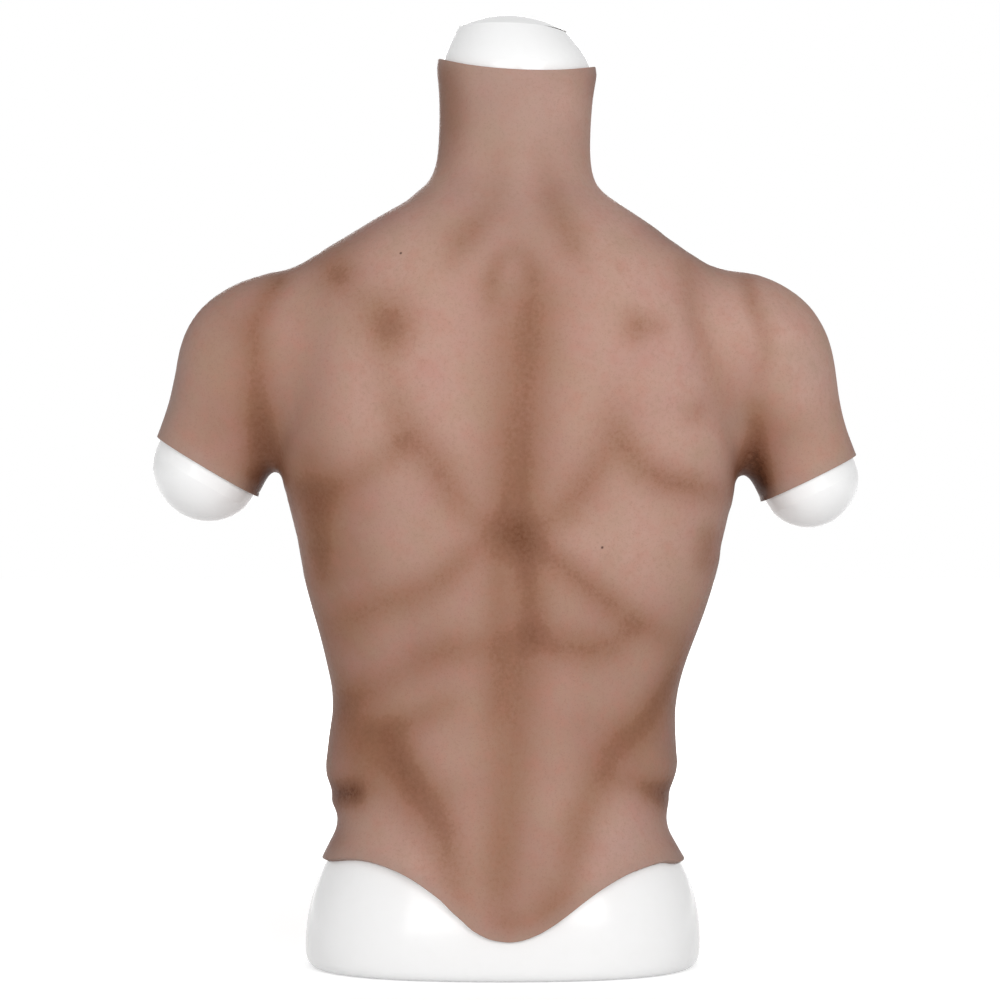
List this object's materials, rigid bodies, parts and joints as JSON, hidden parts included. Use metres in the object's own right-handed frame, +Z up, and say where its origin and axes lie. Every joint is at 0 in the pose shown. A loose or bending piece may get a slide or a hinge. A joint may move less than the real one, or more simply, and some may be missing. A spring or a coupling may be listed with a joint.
{
  "type": "torso mannequin with muscle skin",
  "caption": "Headless male torso form with moulded muscle skin, lift-off neck and arm caps and a stand socket in its flat base.",
  "frame": {"origin": "middle of the stand socket's mouth, in the plane of the flat base", "axes": "+Z up through the neck, +X towards the figure's left arm, the figure's chest faces -Y"},
  "size_m": [0.5852, 0.2529, 0.7836],
  "materials": {
    "silicone_skin": "satin moulded silicone",
    "form_gloss": "gloss",
    "lap_strip": "raw laminate",
    "board": "raw fibreboard",
    "zinc_steel": "zinc plated",
    "screw_steel": "zinc plated",
    "peg_steel": "turned",
    "bush_plastic": "moulded"
  },
  "bodies": {
    "torso": {"muscle_skin": "silicone_skin", "form_back_shell": "form_gloss", "form_front_shell": "form_gloss", "seam_strap_left": "lap_strip", "seam_strap_right": "lap_strip", "base_board": "board", "neck_board": "board", "arm_board_left": "board", "arm_board_right": "board", "base_flange": "zinc_steel", "socket_tube": "zinc_steel", "flange_screws": "screw_steel", "tube_end_cap": "bush_plastic", "neck_bushes": "bush_plastic", "arm_bushes_left": "bush_plastic", "arm_bushes_right": "bush_plastic"},
    "neck_cap_body": {"neck_cap": "form_gloss", "neck_cap_pegs": "peg_steel"},
    "left_arm_cap_body": {"arm_cap_left": "form_gloss", "arm_cap_pegs_left": "peg_steel"},
    "right_arm_cap_body": {"arm_cap_right": "form_gloss", "arm_cap_pegs_right": "peg_steel"}
  },
  "joints": [
    {"name": "neck_cap_lift", "type": "slide", "parent": "torso", "child": "neck_cap_body", "axis": [-0.0419, 0, 0.9991], "range_m": [0, 0.03]},
    {"name": "left_arm_cap_pull", "type": "slide", "parent": "torso", "child": "left_arm_cap_body", "axis": [0.5105, 0, -0.8599], "range_m": [0, 0.03]},
    {"name": "right_arm_cap_pull", "type": "slide", "parent": "torso", "child": "right_arm_cap_body", "axis": [-0.4399, 0, -0.898], "range_m": [0, 0.03]}
  ]
}
